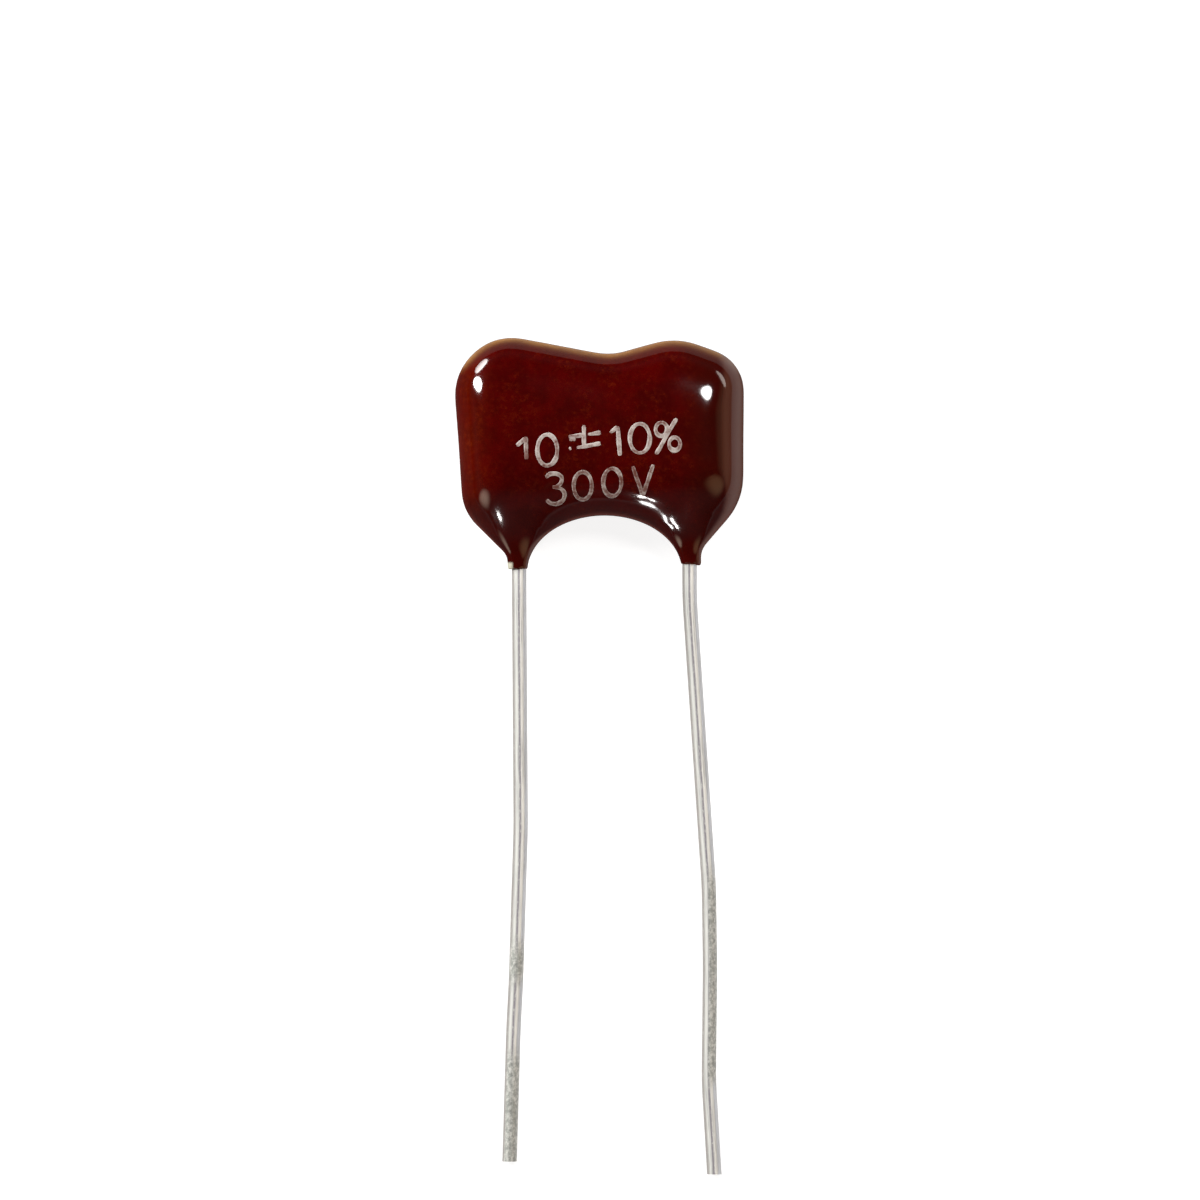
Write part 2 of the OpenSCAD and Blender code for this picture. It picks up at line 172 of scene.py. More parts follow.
class Shader:
    def __init__(self, name, world=False, **fixed):
        self.material = (bpy.data.worlds if world else bpy.data.materials).new(name)
        self.material.use_nodes = True
        self.tree = self.material.node_tree
        self.surface = self.tree.nodes["Background" if world else "Principled BSDF"]
        for key, value in fixed.items():
            self.set(key, value)

    def set(self, key, value):
        words = "".join(" " + c if c.isupper() else c for c in key).title()
        words = words.replace("Ior", "IOR")
        self.feed(self.surface.inputs[words], value)

    def feed(self, socket, value):
        if isinstance(value, Wire):
            self.tree.links.new(value.socket, socket)
        else:
            socket.default_value = value

    def add(self, kind, settings, sockets, output=0):
        node = self.tree.nodes.new(kind)
        for key, value in settings.items():
            setattr(node, key, value)
        for key, value in sockets.items():
            self.feed(node.inputs[key], value)
        return Wire(self, node.outputs[output])

    def outputs(self, wire, keys):
        # several outputs of the node that a wire leaves
        return [Wire(self, wire.socket.node.outputs[key]) for key in keys]

    def place(self):
        # the piece's own coordinates, in millimetres
        spot = self.add("ShaderNodeTexCoord", {}, {}, "Object")
        return self.add("ShaderNodeVectorMath", {"operation": "SCALE"},
                        {0: spot, "Scale": 1 / mm})

    def facing(self):
        return self.add("ShaderNodeTexCoord", {}, {}, "Normal")

    def parts(self, vector):
        return self.outputs(self.add("ShaderNodeSeparateXYZ", {}, {0: vector}), range(3))

    def attribute(self, name, output):
        return self.add("ShaderNodeAttribute", {"attribute_name": name}, {}, output)

    def stretched(self, vector, scale, shift=(0, 0, 0)):
        return self.add("ShaderNodeMapping", {},
                        {"Vector": vector, "Scale": scale, "Location": shift})

    def noise(self, vector, scale, detail, roughness):
        return self.add("ShaderNodeTexNoise", {}, {"Vector": vector, "Scale": scale,
                                                   "Detail": detail, "Roughness": roughness})

    def blend(self, amount, first, second):
        # sockets 6 and 7 and output 2 are the node's colours
        return self.add("ShaderNodeMix", {"data_type": "RGBA"},
                        {0: amount, 6: first, 7: second}, 2)

    def bump(self, height, depth, strength):
        self.set("normal", self.add("ShaderNodeBump", {}, {
            "Height": height, "Distance": depth, "Strength": strength}))


view = {
    "middle": (-0.15, -5.93),      # what the middle of the frame looks at, in millimetres
    "wide": 41.16,                 # width of the frame there, in millimetres
    "high": 1.8,                   # height of that plane over the floor
    "far": 400.0,
    "sensor": 36.0,
    "clip": (0.001, 10),
}


def makeCamera():
    start("camera")
    x, y = view["middle"]
    high = view["high"] + view["far"]
    bpy.ops.object.camera_add(location=(x * mm, y * mm, high * mm), rotation=(0, 0, 0))
    camera = bpy.context.object
    camera.name = "camera"
    camera.data.sensor_width = view["sensor"]
    camera.data.lens = view["sensor"] * view["far"] / view["wide"]
    camera.data.clip_start, camera.data.clip_end = view["clip"]
    bpy.context.scene.camera = camera


studio = {
    "floor": tone(152, 152, 151),
    "floorGlow": 0.86,             # what is added to it for the camera and for mirrors
    "floorRoughness": 0.9,
    "floorSize": 3.0,              # metres, as the next two
    "floorGap": 0.00002,
    "lampFar": 0.32,
    # azimuth from +X, angle from the vertical, angular width and height in degrees, brightness
    # and warmth
    "lamps": {
        "lampKey": (154.6, 57, 14, 27, 31, 0),
        "lampKeyLow": (135.5, 76, 20, 23, 15, 0.05),
        "lampRight": (47.4, 25.6, 12, 13, 26, 0),
        "stripRight": (38, 63, 32, 9, 3.4, 0.35),
        "fillRight": (8, 80, 44, 16, 5, 0),
        "lampFront": (-96.5, 80.5, 2.6, 2.8, 75, 0.1),
        "lampFrontLow": (-100, 87.5, 7, 3.4, 90, 0.05),
    },
    "unmirrored": ["fillRight"],   # lamps that reflections don't show
    "warm": (1.0, 0.72, 0.5),
    # soft glows of the room: azimuth, angle from the vertical, how far out each is full and
    # where it ends in degrees, brightness and warmth
    "glows": [
        (2, 84, 30, 50, 0.3, 1.3),
        (-120, 76, 0, 15, 2.6, 0.8),
        (-58, 58, 0, 24, 0.8, 1.4),
    ],
    "skyTop": 0.015,               # the room's brightness overhead
    "skySide": 0.05,               # and towards the horizon
    "skyOpens": (0.62, 0.34),      # heights of the direction between which it changes
}


def towards(azimuth, slant):
    a, s = math.radians(azimuth), math.radians(slant)
    return Vector((math.cos(a) * math.sin(s), math.sin(a) * math.sin(s), math.cos(s)))


def warmed(warmth):
    return [1 + (c - 1) * warmth for c in studio["warm"]]


def makeFloor():
    start("floor")
    bpy.ops.mesh.primitive_plane_add(size=studio["floorSize"],
                                     location=(0, 0, -studio["floorGap"]))
    floor = bpy.context.object
    floor.name = "floor"
    paper = Shader("paper", baseColor=studio["floor"], roughness=studio["floorRoughness"],
                   specularIorLevel=0.0)
    direct, mirrored, through = paper.outputs(
        paper.add("ShaderNodeLightPath", {}, {}),
        ("Is Camera Ray", "Is Glossy Ray", "Is Transmission Ray"))
    seen = direct.most(mirrored).most(through)
    glow = paper.add("ShaderNodeEmission", {}, {"Color": (1, 1, 1, 1),
                                                "Strength": seen * studio["floorGlow"]})
    lit = Wire(paper, paper.surface.outputs[0])
    both = paper.add("ShaderNodeAddShader", {}, {0: lit, 1: glow})
    paper.feed(paper.tree.nodes["Material Output"].inputs["Surface"], both)
    floor.data.materials.append(paper.material)


def makeLamp(name, azimuth, slant, width, height, bright, warmth):
    start(name)
    far = studio["lampFar"]
    way = towards(azimuth, slant)
    bpy.ops.object.light_add(type="AREA", location=way * far,
                             rotation=way.to_track_quat("Z", "Y").to_euler())
    lamp = bpy.context.object
    lamp.name = name
    lamp.data.shape = "ELLIPSE"
    lamp.data.size = 2 * far * math.tan(math.radians(width) / 2)
    lamp.data.size_y = 2 * far * math.tan(math.radians(height) / 2)
    # the power that gives its face that brightness
    lamp.data.energy = bright * math.pi * lamp.data.size * lamp.data.size_y
    lamp.data.color = warmed(warmth)
    lamp.visible_glossy = name not in studio["unmirrored"]


def makeSky():
    start("sky")
    room = Shader("room", world=True)
    bpy.context.scene.world = room.material
    way = room.add("ShaderNodeTexCoord", {}, {}, "Generated")
    high = room.parts(way)[2]
    light = high.ease(*studio["skyOpens"], studio["skyTop"], studio["skySide"])
    for azimuth, slant, full, ends, bright, warmth in studio["glows"]:
        near = room.add("ShaderNodeVectorMath", {"operation": "DOT_PRODUCT"},
                        {0: way, 1: towards(azimuth, slant)}, "Value")
        amount = near.ease(math.cos(math.radians(ends)), math.cos(math.radians(full)), 0, bright)
        light = room.add("ShaderNodeVectorMath", {"operation": "MULTIPLY_ADD"},
                         {0: amount, 1: warmed(warmth), 2: light})
    room.set("color", light)
    room.set("strength", 1)


coat = {
    "voxel": 0.06,                 # lengths are in millimetres
    "smoothing": 14,
    "smoothFactor": 0.5,
    "legSmoothing": 0.25,          # share of it that the thin legs get
    "legTop": -3.3,                # below this the legs begin
    "legBlend": 0.8,               # and this far down they are legs only
    "weldGap": 0.0005,
    "endFacing": 0.99,             # how squarely the faces at a leg's end look down
    "endReach": 0.02,
    "waves": 0.012,                # height of the skin's slow waves
    "waveSize": 1.7,
    "shoulder": 0.06,              # how much fuller the turn into the arch is
    # where it is: across, up and down the body, facing down, and between the side and the face
    "shoulderAcross": (2.8, 1.5),
    "shoulderFrom": (-4.3, -3.8),
    "shoulderTo": (-1.4, -1.9),
    "shoulderDown": (-0.1, -0.5),
    "shoulderSide": (0.05, 0.7),
    "shoulderFace": (0.99, 0.75),
    # drops where the dip ended, as place and size
    "lips": [((-3.22, -4.76, 1.42), (0.09, 0.13, 0.17)), ((3.24, -4.66, 1.4), (0.1, 0.1, 0.16))],
    "lipSegments": 24,
    "lipRings": 16,
}


def closeCavity(piece):
    # the room inside the coat opens only at the two legs' ends, so those faces go and are closed
    activate(piece)
    bpy.ops.object.mode_set(mode="EDIT")
    bpy.ops.mesh.select_mode(type="FACE")
    bpy.ops.mesh.select_all(action="SELECT")
    bpy.ops.mesh.remove_doubles(threshold=coat["weldGap"])
    bpy.ops.mesh.select_all(action="DESELECT")
    bpy.ops.object.mode_set(mode="OBJECT")
    places = points(piece)
    for side in (-1, 1):
        end = places[places[:, 0] * side > 0, 1].min()
        for face in piece.data.polygons:
            squarely = face.normal.y < -coat["endFacing"]
            near = abs(face.center.y - end) < coat["endReach"]
            if squarely and near and face.center.x * side > 0:
                face.select = True
    bpy.ops.object.mode_set(mode="EDIT")
    bpy.ops.mesh.delete(type="FACE")
    bpy.ops.mesh.select_all(action="DESELECT")
    bpy.ops.object.mode_set(mode="OBJECT")
    outermost = int(points(piece)[:, 0].argmax())
    piece.data.vertices[outermost].select = True
    bpy.ops.object.mode_set(mode="EDIT")
    bpy.ops.mesh.select_mode(type="VERT")
    bpy.ops.mesh.select_linked()
    bpy.ops.mesh.select_all(action="INVERT")
    bpy.ops.mesh.delete(type="VERT")
    bpy.ops.mesh.select_all(action="SELECT")
    bpy.ops.mesh.fill_holes(sides=0)
    bpy.ops.mesh.normals_make_consistent(inside=False)
    bpy.ops.object.mode_set(mode="OBJECT")


def makeCoat():
    start("coat")
    piece = bpy.data.objects.new("coat", nodes["coating"].data.copy())
    bpy.context.scene.collection.objects.link(piece)
    piece.data.materials.clear()
    resize(piece, 1 / mm)
    closeCavity(piece)
    for spot, size in coat["lips"]:
        bpy.ops.object.select_all(action="DESELECT")
        bpy.ops.mesh.primitive_uv_sphere_add(
            segments=coat["lipSegments"], ring_count=coat["lipRings"], radius=1, location=spot,
            scale=size)
        piece.select_set(True)
        bpy.context.view_layer.objects.active = piece
        bpy.ops.object.join()
    modify(piece, "REMESH", mode="VOXEL", voxel_size=coat["voxel"], adaptivity=0)

    def bodyShare(places):
        return smoothStep(places[:, 1], coat["legTop"] - coat["legBlend"], coat["legTop"])

    legs = coat["legSmoothing"]
    weigh(piece, "skin", legs + (1 - legs) * bodyShare(points(piece)))
    modify(piece, "SMOOTH", factor=coat["smoothFactor"], iterations=coat["smoothing"],
           vertex_group="skin")
    places = points(piece)
    normals = perVertex(piece, "normal")
    across, along = np.abs(places[:, 0]), places[:, 1]
    swell = np.array([noise.noise(Vector(p) / coat["waveSize"]) for p in places])
    swell = swell * coat["waves"] * bodyShare(places)
    turn = smoothStep(normals[:, 2], *coat["shoulderSide"])
    turn = turn * smoothStep(normals[:, 2], *coat["shoulderFace"])
    arch = smoothStep(across, *coat["shoulderAcross"])
    arch *= smoothStep(normals[:, 1], *coat["shoulderDown"])
    arch *= smoothStep(along, *coat["shoulderFrom"]) * smoothStep(along, *coat["shoulderTo"])
    places += normals * (swell + turn * arch * coat["shoulder"])[:, None]
    places[:, 2] = np.maximum(places[:, 2], 0)
    setPoints(piece, places)
    resize(piece, mm)
    piece.vertex_groups.clear()
    activate(piece)
    bpy.ops.object.shade_smooth()
    piece.data.materials.append(makeResin())
    return hand(piece, "resin", "coating")


resin = {
    "deep": tone(54, 0, 0),
    "red": tone(66, 0, 0),
    "orange": tone(98, 28, 3),
    # dark is the colour of the painted shade towards the bottom and the right
    "dark": tone(44, 5, 1),
    # colours of the painted reflections in the bands where the face turns into the sides
    "topInnerReflection": tone(72, 22, 2),
    "topEdgeReflection": tone(132, 86, 26),
    "archReflection": tone(112, 44, 30),
    "rightInnerReflection": tone(80, 38, 28),
    "rightEdgeReflection": tone(92, 54, 42),
    "lip": tone(186, 184, 166),
    "roughness": 0.5,              # of the resin under its gloss
    "glossRoughness": 0.08,
    "glossIor": 1.6,
    # scale, detail and roughness of the noises
    "clouds": (1.3, 4, 0.65),
    "grain": (6.0, 3, 0.75),
    "patches": (1.0, 4, 0.6),
    "patchScale": (1.5, 0.8, 1.5),
    "patchShift": (4, 1, 0),
    # how much of a colour goes in; a pair is the least, and what a noise adds to it
    "flecks": (0.1, 0.34),
    "leftPatchy": (0.5, 0.5),
    "leftGrainy": (0.05, 0.42),
    "lowerShade": 0.5,
    "rightShade": 0.7,
    "edgeUneven": (0.75, 0.5),
    "rightReflectionBand": 0.8,
    "archReflectionBand": 0.7,
    "lipPale": 0.9,
    # ranges over noises, as from and to
    "cloudOver": (0.35, 0.66),
    "fleckOver": (0.44, 0.76),
    "fleckPatch": (0.4, 0.7),
    "leftPatch": (0.3, 0.7),
    # ranges over places in millimetres; 1, 0 after them says that the share falls
    "leftOver": (-4.7, -3.5, 1, 0),
    "lowerOver": (-3.4, -1.7, 1, 0),
    "rightOver": (2.2, 3.6),
    "lipAlong": (-4.7, -4.6, 1, 0),
    "lipAcross": (-3.2, -3.1, 1, 0),
    # ranges over the way that the skin faces: towards the front, up and right
    "turnFront": (0.03, 0.16),
    "topUp": (0.3, 0.75),
    "topInnerFront": (0.45, 0.8, 0.7, 0),
    "topEdgeFront": (0.16, 0.6, 1, 0),
    "sideRight": (0.4, 0.56),
    "sideFront": (0.3, 0.8, 1, 0),
    "archUp": (-0.8, -0.45, 1, 0),
    "archFront": (0.15, 0.5, 1, 0),
    # the gloss is full on the face and the back, and weaker on the sides between them
    "glossHolds": (0.7, 0.84),     # front facing between which the full gloss sets in
    "glossLean": 0.03,             # how much sooner that is on the slopes by the arch
    "glossLeanUp": (-0.65, -0.25),
    "glossSide": 0.03,
    "glossRight": 0.4,
    "glossRightAt": (0.3, 0.7),
    "glossRightFront": (0.1, 0.6),
    "glossTop": 0.2,
    "glossTopUp": (0.3, 0.7),
    "glossArch": 0.06,
    "glossArchUp": (-0.7, -0.3, 1, 0),
    "glossBack": (-0.1, 0.05, 1, 0),
}


def makeResin():
    shader = Shader("resin", specularIorLevel=0.0, roughness=resin["roughness"],
                    coatRoughness=resin["glossRoughness"], coatIor=resin["glossIor"])
    place = shader.place()
    across, along = shader.parts(place)[:2]
    right, up, front = shader.parts(shader.facing())

    def over(wire, key):
        return wire.ease(*resin[key])

    cloudy = over(shader.noise(place, *resin["clouds"]), "cloudOver")
    grain = shader.noise(place, *resin["grain"])
    stretched = shader.stretched(place, resin["patchScale"], resin["patchShift"])
    patchy = shader.noise(stretched, *resin["patches"])
    colour = shader.blend(cloudy, resin["deep"], resin["red"])
    flecks = over(grain, "fleckOver") * over(patchy, "fleckPatch").line(*resin["flecks"])
    colour = shader.blend(flecks, colour, resin["orange"])
    left = over(across, "leftOver") * over(patchy, "leftPatch").line(*resin["leftPatchy"])
    colour = shader.blend(left * grain.line(*resin["leftGrainy"]), colour, resin["orange"])
    # painted shade: the resin is made darker towards the bottom and towards the right side
    dark = over(along, "lowerOver") * resin["lowerShade"]
    dark = dark.most(over(across, "rightOver") * resin["rightShade"])
    colour = shader.blend(dark, colour, resin["dark"])
    # painted reflection: a narrow band of paler colour where the face turns into the sides, tan
    # along the top and brown on the right and at the arch
    turn = over(front, "turnFront")
    top = over(up, "topUp") * turn
    colour = shader.blend(top * over(front, "topInnerFront"), colour, resin["topInnerReflection"])
    edge = top * over(front, "topEdgeFront") * cloudy.line(*resin["edgeUneven"])
    colour = shader.blend(edge, colour, resin["topEdgeReflection"])
    sides = over(right, "sideRight") * turn
    rightReflection = shader.blend(over(front, "sideFront"), resin["rightInnerReflection"], resin["rightEdgeReflection"])
    colour = shader.blend(sides * resin["rightReflectionBand"], colour, rightReflection)
    arch = over(up, "archUp") * over(front, "archFront") * turn
    colour = shader.blend(arch * resin["archReflectionBand"], colour, resin["archReflection"])
    lip = over(along, "lipAlong") * over(across, "lipAcross")
    colour = shader.blend(lip * resin["lipPale"], colour, resin["lip"])
    shader.set("baseColor", colour)
    lean = up.ease(*resin["glossLeanUp"], resin["glossLean"], 0)
    gloss = over(front + lean, "glossHolds")
    side = resin["glossRight"] * over(right, "glossRightAt") * over(front, "glossRightFront")
    side = (side + resin["glossTop"] * over(up, "glossTopUp")).most(resin["glossSide"])
    side = side.most(resin["glossArch"] * over(up, "glossArchUp"))
    side = side.most(over(front, "glossBack"))
    shader.set("coatWeight", side + (1 - side) * gloss)
    return shader.material


def ring(x, y, width, height, turns=20):
    # a closed loop of points
    steps = [2 * math.pi * i / turns for i in range(turns + 1)]
    return [(x + width * math.sin(t), y + height * math.cos(t)) for t in steps]


ink = {
    # strokes of the rating, in millimetres on the printed face
    "strokes": [
        [(-3.0, -0.66), (-2.9, -0.58), (-2.72, -0.42), (-2.7, -0.38)],
        [(-2.68, -0.36), (-2.68, -0.62), (-2.67, -0.9), (-2.66, -1.12)],
        ring(-1.95, -0.81, 0.34, 0.53),
        [(-0.7, 0.04), (-0.7, -0.2), (-0.7, -0.45), (-0.69, -0.7)],
        [(-1.22, -0.36), (-0.9, -0.32), (-0.74, -0.29)],
        [(-1.2, -0.46), (-0.98, -0.43)],
        [(-0.56, -0.28), (-0.3, -0.24), (-0.13, -0.21)],
        [(-1.2, -0.77), (-1.13, -0.74)],
        [(-0.94, -0.73), (-0.7, -0.69), (-0.4, -0.63), (-0.13, -0.58)],
        [(0.2, -0.22), (0.32, -0.12), (0.44, -0.02)],
        [(0.46, 0), (0.48, -0.32), (0.51, -0.7), (0.53, -1.0)],
        ring(1.21, -0.41, 0.34, 0.5),
        [(2.47, 0.27), (2.3, 0), (2.1, -0.36), (1.9, -0.72), (1.76, -0.95)],
        ring(1.95, -0.1, 0.2, 0.23),
        ring(2.4, -0.6, 0.19, 0.22),
        [(-2.0, -1.75), (-1.86, -1.63), (-1.64, -1.62), (-1.46, -1.74), (-1.5, -1.95),
         (-1.66, -2.06), (-1.78, -2.08)],
        [(-1.7, -2.07), (-1.48, -2.13), (-1.36, -2.3), (-1.42, -2.52), (-1.62, -2.64),
         (-1.84, -2.62), (-1.98, -2.5)],
        ring(-0.74, -2.03, 0.31, 0.47),
        ring(0.27, -1.91, 0.31, 0.47),
        [(0.97, -1.36), (1.08, -1.7), (1.2, -2.02), (1.31, -2.36)],
        [(1.67, -1.31), (1.55, -1.66), (1.43, -2.02), (1.32, -2.36)],
    ],
    "width": 0.07,                 # half the width of a stroke
    "thin": 0.55,                  # how thin its ends are
    "step": 0.04,
    "roundness": 3,
    "uneven": 0.4,                 # how much a stroke's width wanders
    "unevenScale": 3,
    "film": 0.006,                 # height over the coat
    "castFrom": 10,                # height from which the strokes are dropped on the coat
    "pale": tone(180, 172, 166),
    "worn": tone(96, 56, 48),
    "roughness": 0.45,
    "specular": 0.3,
    # scale, detail and roughness of the noises
    "grain": (9, 3, 0.7),
    "patches": (2.6, 2, 0.5),
    # how much the ink's cover owes to each, and how much weaker the second line is
    "grainShare": 0.9,
    "patchShare": 0.8,
    "edgeShare": 0.26,
    "secondWeaker": 0.14,
    "secondAlong": (-1.35, -1.25, 1, 0),
    "coverOver": (0.62, 1.2),
    # the first numeral is faded at its foot
    "faded": 0.85,
    "fadedAcross": (-2.5, -2.3, 1, 0),
    "fadedAlong": (-1.05, -0.7, 1, 0),
}


def smoothPath(stops, step):
    # even points on a curve through the stops
    stops = np.array(stops, float)
    ends = np.vstack([2 * stops[0] - stops[1], stops, 2 * stops[-1] - stops[-2]])
    if np.allclose(stops[0], stops[-1]):
        ends[0], ends[-1] = stops[-2], stops[1]
    path = []
    for i in range(len(stops) - 1):
        before, here, there, after = ends[i:i + 4]
        count = max(2, int(np.linalg.norm(there - here) / step))
        for t in np.arange(count) / count:
            path.append(0.5 * (2 * here + (there - before) * t
                               + (2 * before - 5 * here + 4 * there - after) * t ** 2
                               + (3 * here - before - 3 * there + after) * t ** 3))
    return np.array(path + [stops[-1]])


def makePrint(body):
    start("marking")
    shape = bpy.data.curves.new("marking", "CURVE")
    shape.dimensions = "3D"
    shape.bevel_depth = ink["width"]
    shape.bevel_resolution = ink["roundness"]
    shape.use_fill_caps = True
    paths = []
    for number, stops in enumerate(ink["strokes"]):
        path = smoothPath(stops, ink["step"])
        paths.append(path)
        spline = shape.splines.new("POLY")
        spline.points.add(len(path) - 1)
        closed = np.allclose(path[0], path[-1])
        for i, (x, y) in enumerate(path):
            fromEnd = min(i, len(path) - 1 - i) * ink["step"] / ink["width"]
            full = 1 if closed else ink["thin"] + (1 - ink["thin"]) * min(1, fromEnd) ** 0.5
            spot = Vector((x * ink["unevenScale"], y * ink["unevenScale"], number))
            spline.points[i].co = (x, y, 0, 1)
            spline.points[i].radius = full * (1 + ink["uneven"] * noise.noise(spot))
    curve = bpy.data.objects.new("marking", shape)
    bpy.context.scene.collection.objects.link(curve)
    activate(curve)
    bpy.ops.object.convert(target="MESH")
    piece = bpy.context.object
    places = points(piece)
    # how far across its stroke each point lies
    across = np.full(len(places), np.inf)
    for path in paths:
        gaps = np.linalg.norm(places[:, None, :2] - path[None], axis=2).min(1)
        across = np.minimum(across, gaps)
    keepPerVertex(piece, "inkEdge", "FLOAT", across / ink["width"])
    bpy.context.view_layer.update()
    for i, (x, y, z) in enumerate(places):
        spot = body.ray_cast((x * mm, y * mm, ink["castFrom"] * mm), (0, 0, -1))[1]
        places[i, 2] = spot.z / mm + ink["film"] * z / ink["width"]
    setPoints(piece, places)
    resize(piece, mm)
    activate(piece)
    bpy.ops.object.shade_smooth()
    piece.data.materials.append(makeInk())
    return hand(piece, "ink")


def makeInk():
    shader = Shader("ink", roughness=ink["roughness"], specularIorLevel=ink["specular"])
    place = shader.place()
    across, along = shader.parts(place)[:2]
    edge = shader.attribute("inkEdge", "Fac")
    grain = shader.noise(place, *ink["grain"])
    patchy = shader.noise(place, *ink["patches"])
    cover = grain * ink["grainShare"] + patchy * ink["patchShare"] + edge * ink["edgeShare"]
    cover = cover - along.ease(*ink["secondAlong"]) * ink["secondWeaker"]
    faded = across.ease(*ink["fadedAcross"]) * along.ease(*ink["fadedAlong"])
    cover = cover.ease(*ink["coverOver"]) * (1 - faded * ink["faded"])
    shader.set("baseColor", shader.blend(cover, ink["worn"], ink["pale"]))
    return shader.material


leads = {
    "radius": 0.25,
    "pitch": 5.85,
    "top": 2.35,                   # inner end, inside the coat
    "depth": 1.395,                # height of the axis where it leaves the coat
    # leg is where the coat ends and long the wire's length from there; bends are outward shift
    # and share of that length; dull says where the tin is dull: from and to along the wire, and
    # beyond which place across it
    "left": {"leg": -4.86, "long": 20.4,
             "bends": [(0, 0.04), (-0.05, 0.436), (0.12, 0.7), (0.2, 0.77), (0.34, 1)],
             "dull": [(20.0, 21.4, -0.9), (23.8, 29, -0.75)]},
    "right": {"leg": -4.70, "long": 21.0,
              "bends": [(0, 0.057), (0.67, 0.529), (0.71, 0.657), (0.67, 0.848), (0.86, 1)],
              "dull": [(17.6, 24.9, -0.15)]},
    "softness": 0.45,              # half the length over which a bend is spread
    "softSteps": 9,
    "sides": 32,
    "rings": 220,
    "sharpFrom": 40,               # angle from which an edge isn't shaded smooth
}


def softBends(heights, stops, values):
    # the values at the bends, spread softly along the wire and carried on past its end
    order = np.argsort(stops)
    stops, values = np.array(stops)[order], np.array(values)[order]
    slope = (values[1] - values[0]) / (stops[1] - stops[0])
    total = 0
    for shift in np.linspace(-leads["softness"], leads["softness"], leads["softSteps"]):
        at = heights + shift
        total = total + np.interp(at, stops, values) + np.minimum(at - stops[0], 0) * slope
    return total / leads["softSteps"]


def makeLead(name, side, facts):
    start(name)
    radius, top, depth = leads["radius"], leads["top"], leads["depth"]
    reach = top - (facts["leg"] - facts["long"])
    bpy.ops.mesh.primitive_cylinder_add(vertices=leads["sides"], radius=radius, depth=reach,
                                        end_fill_type="TRIFAN", location=(0, top - reach / 2, 0),
                                        rotation=(math.pi / 2, 0, 0))
    piece = bpy.context.object
    piece.name = name
    bpy.ops.object.transform_apply(location=True, rotation=True, scale=True)
    bpy.ops.object.mode_set(mode="EDIT")
    bpy.ops.mesh.select_mode(type="FACE")
    for i in range(1, leads["rings"]):
        bpy.ops.mesh.select_all(action="SELECT")
        bpy.ops.mesh.bisect(plane_co=(0, top - reach * i / leads["rings"], 0), plane_no=(0, 1, 0))
    bpy.ops.object.mode_set(mode="OBJECT")
    places = points(piece)
    # the tin's pattern follows the straight wire
    around = np.arctan2(places[:, 2], places[:, 0])
    straight = np.stack([np.cos(around), np.sin(around), top - places[:, 1]], 1)
    keepPerVertex(piece, "wirePlace", "FLOAT_VECTOR", straight)
    stops = [top] + [facts["leg"] - share * facts["long"] for _, share in facts["bends"]]
    outward = [0] + [shift for shift, _ in facts["bends"]]
    first = facts["bends"][0][1]
    # from the first bend to the cut end the wire comes down until it lies on the floor
    sunk = [0] + [(share - first) / (1 - first) for _, share in facts["bends"]]
    places[:, 0] += side * (leads["pitch"] / 2 + softBends(places[:, 1], stops, outward))
    places[:, 2] += depth - (depth - radius) * softBends(places[:, 1], stops, sunk)
    setPoints(piece, places)
    resize(piece, mm)
    activate(piece)
    bpy.ops.object.shade_smooth_by_angle(angle=math.radians(leads["sharpFrom"]))
    piece.data.materials.append(makeTin(name, facts["dull"]))
    return hand(piece, "tinned_wire", "lead_" + name.replace("Lead", ""))


tin = {
    "bright": tone(238, 237, 230),
    # painted shade and reflection across the wire: a darker left half, a pale blue band on the
    # right, a dark line and darker rims
    "left": tone(206, 206, 200),
    "band": tone(200, 205, 212),
    "grey": tone(160, 161, 160),
    "line": tone(136, 132, 138),
    "edge": tone(138, 134, 130),
    "dullDark": tone(134, 137, 130),
    "dullPale": tone(200, 200, 193),
    "specular": 0.5,
    "metal": 0.16,                 # the rest scatters like dull tin
    "metalUneven": (0.6, 0.8),     # a pair is the least, and what a noise adds to it
    "roughness": (0.3, 0.2),
    "bump": (0.00002, 0.6),        # depth in metres, and strength
    "bumpBreaks": 0.5,
    # scale round and along the wire, detail and roughness of the noises
    "wander": ((0, 0, 0.35), 3, 0.6),
    "breaks": ((3, 3, 3.5), 4, 0.75),
    "lines": ((6, 6, 0.5), 4, 0.7),
    "speckle": ((2.5, 2.5, 8), 3, 0.7),
    "wanders": 0.2,                # how far the painted lines and bands across the wire wander
    "middle": 0.5,                 # middle of a noise
    # places across the wire run from -1 to 1
    "shadeLineAt": 0.05,                # the painted dark shade line lies so far left of the middle
    "shadeLineOver": (0.06, 0.24, 1, 0),
    "seam": 0.95,
    "breaksOver": (0.3, 0.5),
    "leftOver": (-0.2, 0.1, 1, 0),
    "bandReflectionOver": (0.42, 0.62),
    "linesOver": (0.44, 0.66),
    "greyShare": 0.75,
    "rimShadeLeft": (-0.82, -0.5, 1, 0),
    "rimShadeRight": (0.88, 0.98),
    "rimShadeRightShare": 0.5,
    "rimShadeUneven": (0.7, 0.3),
    # the dull stretches
    "speckleOver": (0.38, 0.66),
    "dullIn": (-0.4, 0.6),         # from before to after each stretch's beginning
    "dullOut": (-0.4, 0.4),
    "dullAcross": (-0.1, 0.1),
    "dull": 0.85,
}


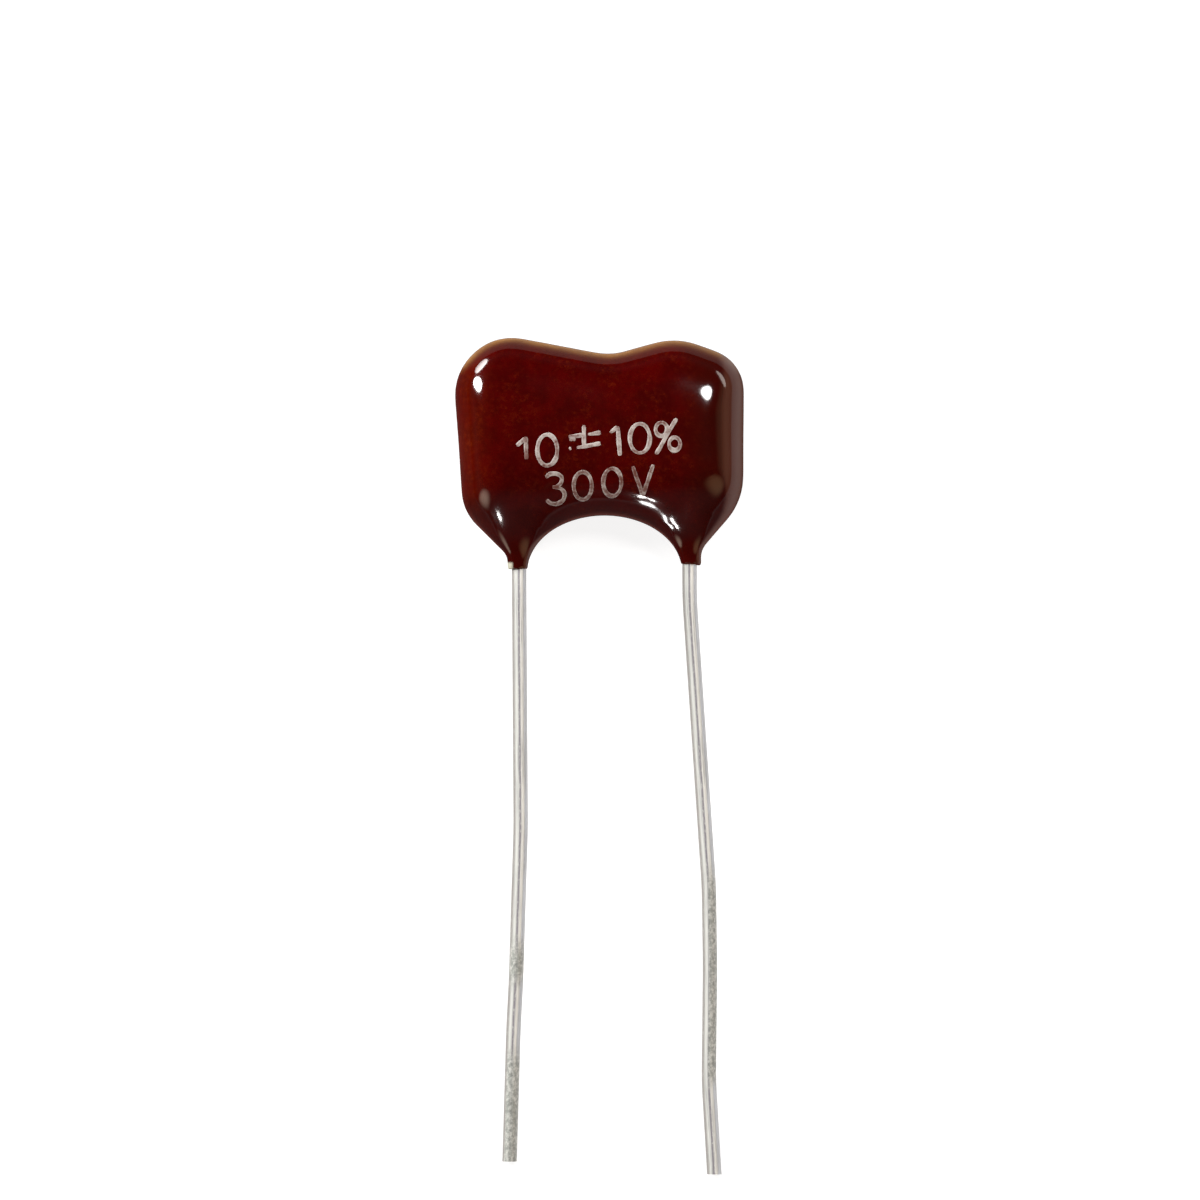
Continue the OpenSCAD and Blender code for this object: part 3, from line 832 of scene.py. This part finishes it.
def makeTin(name, dull):
    shader = Shader(name + "Tin", specularIorLevel=tin["specular"])
    place = shader.attribute("wirePlace", "Vector")
    side, _, along = shader.parts(place)

    def streaks(key):
        scale, detail, roughness = tin[key]
        return shader.noise(shader.stretched(place, scale), 1.0, detail, roughness)

    def between(wire, at, key, *values):
        # eased over a range about a place on the wire
        return wire.ease(at + tin[key][0], at + tin[key][1], *values)

    breaks, lines = streaks("breaks"), streaks("lines")
    broken = breaks.ease(*tin["breaksOver"])
    acrossWandering = side + tin["wanders"] * (streaks("wander") - tin["middle"])
    # painted shade and reflection: the left half is darker, a pale blue band lies on the right, a
    # dark line runs a little left of the middle, and the rims are darker
    seam = abs(acrossWandering + tin["shadeLineAt"]).ease(*tin["shadeLineOver"]) * broken
    colour = shader.blend(acrossWandering.ease(*tin["leftOver"]), tin["bright"], tin["left"])
    colour = shader.blend(acrossWandering.ease(*tin["bandReflectionOver"]), colour, tin["band"])
    colour = shader.blend(lines.ease(*tin["linesOver"]) * tin["greyShare"], colour, tin["grey"])
    colour = shader.blend(seam * tin["seam"], colour, tin["line"])
    rimShade = side.ease(*tin["rimShadeLeft"]).most(side.ease(*tin["rimShadeRight"]) * tin["rimShadeRightShare"])
    colour = shader.blend(rimShade * broken.line(*tin["rimShadeUneven"]), colour, tin["edge"])
    speckled = streaks("speckle").ease(*tin["speckleOver"])
    mottled = shader.blend(speckled, tin["dullDark"], tin["dullPale"])
    for begins, ends, beyond in dull:
        zone = between(along, begins, "dullIn") * between(along, ends, "dullOut", 1, 0)
        zone = zone * between(acrossWandering, beyond, "dullAcross")
        colour = shader.blend(zone * tin["dull"], colour, mottled)
    shader.set("baseColor", colour)
    shader.set("metallic", tin["metal"] * lines.line(*tin["metalUneven"]))
    shader.set("roughness", breaks.line(*tin["roughness"]))
    shader.bump(lines + breaks * tin["bumpBreaks"], *tin["bump"])
    return shader.material


inside = {
    # colour, metal and roughness of the pieces that the coat hides
    "looks": {
        "solder": ((158, 160, 163), 1.0, 0.42),
        "clamp": ((204, 184, 140), 1.0, 0.3),
        "foil": ((178, 178, 184), 1.0, 0.36),
        "electrode": ((226, 224, 218), 1.0, 0.5),
        "mica": ((214, 200, 168), 0.0, 0.16),
    },
    "clouds": (2.5, 3, 0.6),       # scale, detail and roughness of the noise
    "cloudOver": (0.35, 0.65),
    "darker": 0.8,
    "rougher": 0.15,
}


def dressInside():
    start("looks of the inner pieces")
    for key, (colour, metal, rough) in inside["looks"].items():
        shader = Shader(key + "Look", metallic=metal)
        cloud = shader.noise(shader.place(), *inside["clouds"])
        dark = tone(*[level * inside["darker"] for level in colour])
        clouds = cloud.ease(*inside["cloudOver"])
        shader.set("baseColor", shader.blend(clouds, dark, tone(*colour)))
        shader.set("roughness", cloud.line(rough, inside["rougher"]))
        for name, node in nodes.items():
            if key in name:
                node.data.materials.clear()
                node.data.materials.append(shader.material)


makeCamera()
makeFloor()
for lampName, facts in studio["lamps"].items():
    makeLamp(lampName, *facts)
makeSky()
body = makeCoat()
makePrint(body)
makeLead("leftLead", -1, leads["left"])
makeLead("rightLead", 1, leads["right"])
dressInside()

bpy.context.scene.view_settings.view_transform = "Standard"
